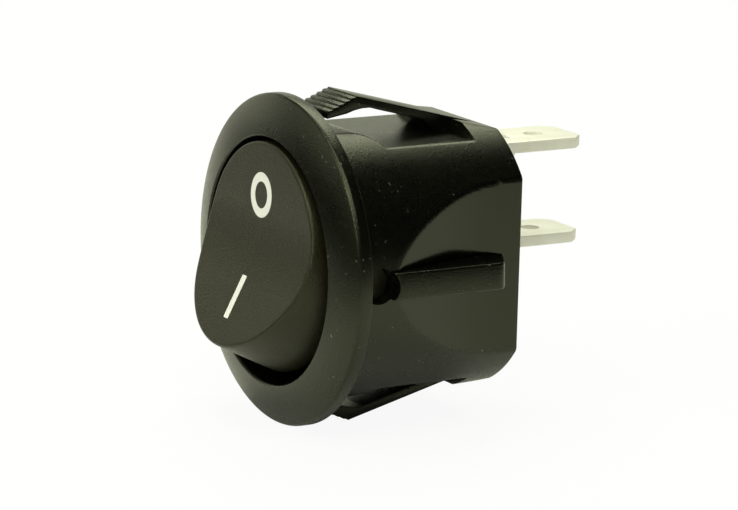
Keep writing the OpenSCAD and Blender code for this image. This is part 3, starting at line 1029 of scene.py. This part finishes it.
def tongue_outline(height):
    end, low, top = TONGUE_ROOT - TONGUE_L, height - BLADE_T / 2, height + BLADE_T / 2
    lap, outer, upper, inner = TONGUE_BEND
    struck = low - TONGUE_DROP
    points = [(TONGUE_ROOT + lap, top), (TONGUE_ROOT + lap, low), (TONGUE_ROOT, low),
              (TONGUE_ROOT - outer, struck), (end, struck), (end, struck + TONGUE_T),
              (TONGUE_ROOT - inner, struck + TONGUE_T), (TONGUE_ROOT - upper, top)]
    return [(-TONGUE_W / 2, y, z) for y, z in points]


def make_blade(name, root, height):
    blade = slab(name, blade_outline(root, height), (0, 0, BLADE_T), edge=SHEAR_EDGE)
    window = box_tool("window", (-TONGUE_W / 2, TONGUE_ROOT - TONGUE_L, height - CLEAR),
                      (TONGUE_W / 2, TONGUE_ROOT, height + CLEAR))
    combine(blade, window, "DIFFERENCE")
    hole = round_tool("wire_hole", WIRE_HOLE_R, -CLEAR, CLEAR,
                      (0, BLADE_END - WIRE_HOLE_AT, height), Matrix.Identity(4))
    combine(blade, hole, "DIFFERENCE")
    tongue = slab("tongue", tongue_outline(height), (TONGUE_W, 0, 0), edge=TONGUE_EDGE,
                  segments=2)
    return combine(blade, tongue, "UNION")


SADDLE_Y = joints["contact_tilt"]["pos_m"][1] / MM
load_low, load_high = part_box("load_terminal")
LEG_Y, LEG_FOOT = load_low.y / MM, load_low.z / MM
BLADE_END = load_high.y / MM
common_blade = make_blade("common_blade", SADDLE_Y + SADDLE_LAP, BLADE_RISE)
load_blade = make_blade("load_blade", LEG_Y, BLADE_PITCH + BLADE_RISE)
print("blade end:", round(BLADE_END, 2), "saddle:", round(SADDLE_Y, 2))

# %% [markdown]
# Inside the housing the two blades differ. The lower one splits into two prongs that carry the
# lever on a saddle, and the upper one folds down into a leg with the fixed contact's rivet in it.
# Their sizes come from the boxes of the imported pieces, so that the lever and the rivet still fit.

# %% Join the prongs and the leg
PRONG_W = 1.6
LEVER_W, NOTCH = 4.0, 0.5
RIVET_R, RIVET_DEEP = 0.55, 0.4
PRONG_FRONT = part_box("common_terminal")[0].y / MM
PRONG_X = LEVER_W / 2 - NOTCH + SADDLE_LAP
FORWARD = Matrix.Rotation(math.radians(90), 4, "X")


def prong(side):
    near, far = sorted((side * PRONG_X, side * (PRONG_X + PRONG_W)))
    back = BARREL_L - REAR_WALL - SADDLE_LAP
    return box_tool("prong", (near, PRONG_FRONT, -BLADE_T / 2), (far, back, BLADE_T / 2))


for side in (1, -1):
    combine(common_blade, prong(side), "UNION")
leg = box_tool("leg", (-BLADE_W / 2, LEG_Y, LEG_FOOT),
               (BLADE_W / 2, LEG_Y + BLADE_T, BLADE_PITCH))
combine(load_blade, leg, "UNION")
fixed_low, fixed_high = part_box("fixed_contact")
rivet_at = (0, LEG_Y + RIVET_DEEP, (fixed_low.z + fixed_high.z) / 2 / MM)
rivet_hole = round_tool("rivet_hole", RIVET_R, -CLEAR, CLEAR, rivet_at, FORWARD)
combine(load_blade, rivet_hole, "DIFFERENCE")
for blade, node in ((common_blade, "common_terminal"), (load_blade, "load_terminal")):
    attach(blade, "housing")
    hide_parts(node)
print("blades:", len(common_blade.data.vertices), "and", len(load_blade.data.vertices), "points")

# %% [markdown]
# ## Finishes
#
# Every material below reads Object coordinates, which are metres in the frame of the part, so a
# pattern keeps its size and its place on every piece. The scale of a noise is its waves in a metre.
#
# ### Moulded plastic
#
# The housing and the rocker are a black plastic with a spark-eroded skin: a fine even grain that
# scatters the light to a soft sheen. The grain is a bump two or three hundredths of a millimetre
# deep. Handling leaves pale specks of dust in it, and where the plastic flowed, its tone and its
# gloss drift a little from place to place.
#
# Such a black is nearly all reflection, so its warm olive cast is given to the tint of the sheen
# as well as to the colour.

# %% Write the recipe for moulded plastic
GRAIN, MOTTLE, FLOW = 9000, 2300, 170
SPECK, DUST_PATCH = 5200, 700
SHEEN = (0.95, 1.0, 0.76, 1.0)
DUST = grey(0.2, (0.9, 1.0, 0.95))
POLISHED_ROUGH = 0.14


def moulded(name, value, tint, rough, grain_depth, dust, polished=None):
    shade = Shade(name)
    grain = shade.noise(GRAIN, detail=1.5, rough=0.6)
    flow = shade.noise(FLOW, detail=3.0)
    mottle = shade.noise(MOTTLE, detail=2.0, rough=0.6)
    patches = shade.noise(DUST_PATCH, detail=2).step(0.5, 0.66)
    specks = shade.noise(SPECK, detail=0.5).step(0.71, 0.8) * patches
    smooth = polished(shade) if polished else 0.0
    texture = 1 - smooth * 0.9
    dusty = specks * dust * texture
    colour = shade.blend(mottle, grey(value * 0.72, tint), grey(value * 1.3, tint))
    gloss_drift = (flow - 0.5) * 0.1 + (mottle - 0.5) * 0.08
    shade.set(Base_Color=shade.blend(dusty, colour, DUST),
              Roughness=rough + gloss_drift + dusty * 0.2 - smooth * (rough - POLISHED_ROUGH),
              Normal=shade.bump(grain * texture, grain_depth),
              Specular_IOR_Level=0.5, Specular_Tint=SHEEN, IOR=1.5)
    return shade.material


print("grain:", 1000 / GRAIN, "mm from wave to wave")

# %% [markdown]
# The side flats were polished in the mould, so they have less grain and more gloss. Which points
# are on a flat is worked out from the same two planes that shaped the barrel: the sloping one and
# the level one behind it. The mask stops short of the bezel, and leaves out the places that look
# up or down, such as the sides of the key rib.

# %% Make the two plastics
WARM_BLACK = (1.0, 1.02, 0.72)
BROWN_BLACK = (1.15, 1.0, 0.4)
FLAT_NEAR, FLAT_FAR = 0.0003, 0.0005
BEZEL_CLEAR = (0.0026, 0.0029)
LEAN_LIMITS = (0.04, 0.1)


def side_flat(shade):
    back = shade.axis("Y")
    slope = (BARREL_R - FLAT_HALF) / (FLAT_END - FLAT_START)
    sloping = BARREL_R * MM - (back - FLAT_START * MM) * slope
    plane = shade.node("ShaderNodeMath", {"operation": "MAXIMUM"}, {0: sloping, 1: FLAT_HALF * MM})
    near = 1 - abs(abs(shade.axis("X")) - plane).step(FLAT_NEAR, FLAT_FAR)
    lean = abs(shade.axis("Z", shade.normal()))
    return near * back.step(*BEZEL_CLEAR) * (1 - lean.step(*LEAN_LIMITS))


def finish_in(piece, material):
    piece.data.materials.clear()
    piece.data.materials.append(material)


housing_plastic = moulded("housing_plastic", 0.002, WARM_BLACK, rough=0.29,
                          grain_depth=0.00002, dust=0.65, polished=side_flat)
rocker_plastic = moulded("rocker_plastic", 0.008, BROWN_BLACK, rough=0.4,
                         grain_depth=0.00003, dust=0.2)
finish_in(housing, housing_plastic)
finish_in(rocker, rocker_plastic)
print("plastics:", housing_plastic.name, rocker_plastic.name)

# %% [markdown]
# ### White ink
#
# Pad-printed ink is thin, matt and not quite even: it is a little thinner in places, where the
# black shows through as a faint grey.

# %% Print the marks
def printed_ink():
    shade = Shade("white_ink")
    thin = shade.noise(3000, detail=3.0).step(0.55, 0.8) * 0.25
    shade.set(Base_Color=shade.blend(thin * 0.4, grey(0.98, (0.96, 0.96, 1.0)), grey(0.6)),
              Roughness=0.55 + thin * 0.3, Specular_IOR_Level=0.4,
              Normal=shade.bump(shade.noise(5000), 0.000003))
    return shade.material


white_ink = printed_ink()
for mark in marks:
    finish_in(mark, white_ink)
print("ink:", white_ink.name)

# %% [markdown]
# ### Tinned brass
#
# Tin plate is a soft grey-white metal with the faint lengthwise lines of the rolled strip under
# it. Where the punch sheared the strip, on the edges and round the holes, the surface is torn and
# dull, and the brass warms it a little. Those places face sideways and the rolled faces face up or
# down, so the finish follows the direction that the surface faces.

# %% Plate the blades
ROLLED_STRETCH = (1.0, 0.04, 1.0)
BRIGHT_TIN, STAINED_TIN = grey(0.98, (1.0, 1.0, 0.98)), grey(0.92, (1.0, 1.0, 0.94))
BRASS = (0.95, 0.88, 0.66, 1.0)


def tinned_brass():
    shade = Shade("tinned_brass")
    stretch = shade.node("ShaderNodeMapping", {}, {"Vector": shade.place, "Scale": ROLLED_STRETCH})
    rolled = shade.noise(9000, detail=2.0, vector=stretch)
    stain = shade.noise(700, detail=4.0, rough=0.6)
    sheared = 1 - abs(shade.axis("Z", shade.normal())).step(0.5, 0.85)
    tin = shade.blend(stain.step(0.35, 0.75), BRIGHT_TIN, STAINED_TIN)
    shade.set(Base_Color=shade.blend(sheared * 0.08, tin, BRASS), Metallic=0.65 - sheared * 0.5,
              Roughness=0.3 + rolled * 0.12 + stain * 0.1 + sheared * 0.1,
              Normal=shade.bump(rolled, 0.000002))
    return shade.material


tin_plate = tinned_brass()
for blade in (common_blade, load_blade):
    finish_in(blade, tin_plate)
print("plate:", tin_plate.name)

# %% [markdown]
# ### The pieces inside
#
# The lever, the contacts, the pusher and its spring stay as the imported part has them, because
# their shapes are right and they hardly show. Each still gets its own finish: rolled copper gone
# dull with handling, silver with a fine turned face, milky nylon, and drawn steel wire.

# %% Finish the inner pieces
def dull_metal(name, bright, dark, rough, scale, depth):
    shade = Shade(name)
    drift = shade.noise(scale, detail=4.0, rough=0.6)
    fine = shade.noise(scale * 9, detail=2.0)
    shade.set(Base_Color=shade.blend(drift.step(0.3, 0.75), bright, dark), Metallic=1.0,
              Roughness=rough + (drift - 0.5) * 0.2 + fine * 0.08, Normal=shade.bump(fine, depth))
    return shade.material


def milky_nylon():
    shade = Shade("pusher_plastic")
    flow = shade.noise(400, detail=3.0)
    shade.set(Base_Color=shade.blend(flow, (0.72, 0.68, 0.56, 1.0), (0.8, 0.77, 0.67, 1.0)),
              Roughness=0.4 + (flow - 0.5) * 0.15, Normal=shade.bump(shade.noise(5000), 0.000002))
    return shade.material


def dress(node, material):
    for place in frame["nodes"][node].material_slots:
        place.material = material
    print(node, "->", material.name)


copper = dull_metal("lever_copper", (0.86, 0.5, 0.32, 1.0), (0.6, 0.33, 0.2, 1.0),
                    rough=0.32, scale=900, depth=0.000002)
silver = dull_metal("contact_silver", (0.92, 0.91, 0.87, 1.0), (0.72, 0.7, 0.64, 1.0),
                    rough=0.3, scale=1500, depth=0.000003)
steel = dull_metal("spring_steel", (0.62, 0.61, 0.6, 1.0), (0.42, 0.41, 0.4, 1.0),
                   rough=0.28, scale=2500, depth=0.000001)
INNER = {"contact_lever": copper, "moving_contact": silver, "fixed_contact": silver,
         "pusher": milky_nylon(), "pusher_spring": steel}
for node, material in INNER.items():
    dress(node, material)

# %% [markdown]
# ### The paper sweep
#
# The sheet is plain white paper with a faint painted glow, light painted into the paper so that the
# shadow under the switch stays light. Black gloss shows where a white sheet ends, so the paper is
# painted dark towards its near and right edges, a painted shade that the gloss mirrors there. The
# camera sees it nearly as white as the air, with only a soft shadow.

# %% Colour the sweep
FADE_FRONT, FADE_RIGHT = (-0.058, -0.036), (0.09, 0.125)
# The paper's dark colour near its edges is painted shade, and its glow is painted light.
PAPER_WHITE, PAPER_PAINTED_SHADE = grey(0.92), grey(0.05)
PAPER_PAINTED_GLOW = 0.07
PAPER_SEEN_WHITE = 0.92


def paper():
    shade = Shade("sweep")
    inside = shade.axis("Y").step(*FADE_FRONT) * (1 - shade.axis("X").step(*FADE_RIGHT))
    shade.set(Base_Color=shade.blend(inside, PAPER_PAINTED_SHADE, PAPER_WHITE), Roughness=1.0,
              Specular_IOR_Level=0.0, Emission_Color=shade.blend(inside, grey(0.0), grey(1.0)),
              Emission_Strength=PAPER_PAINTED_GLOW)
    seen_otherwise = Sock(shade, shade.surface.outputs[0])
    white_to_camera(shade, "ShaderNodeEmission", seen_otherwise, PAPER_SEEN_WHITE)
    return shade.material


finish_in(floor, paper())
print("sweep coloured:", floor.data.materials[0].name)

# %% [markdown]
# ## Measure at the end
#
# Last, the dressed part is measured, and its size is printed beside the size of the imported one.

# %% Measure the dressed part
low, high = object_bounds()
print("packed size:", [round((b - a) / MM, 3) for a, b in zip(cad_low, cad_high)])
print("dressed size:", [round((b - a) / MM, 3) for a, b in zip(low, high)])
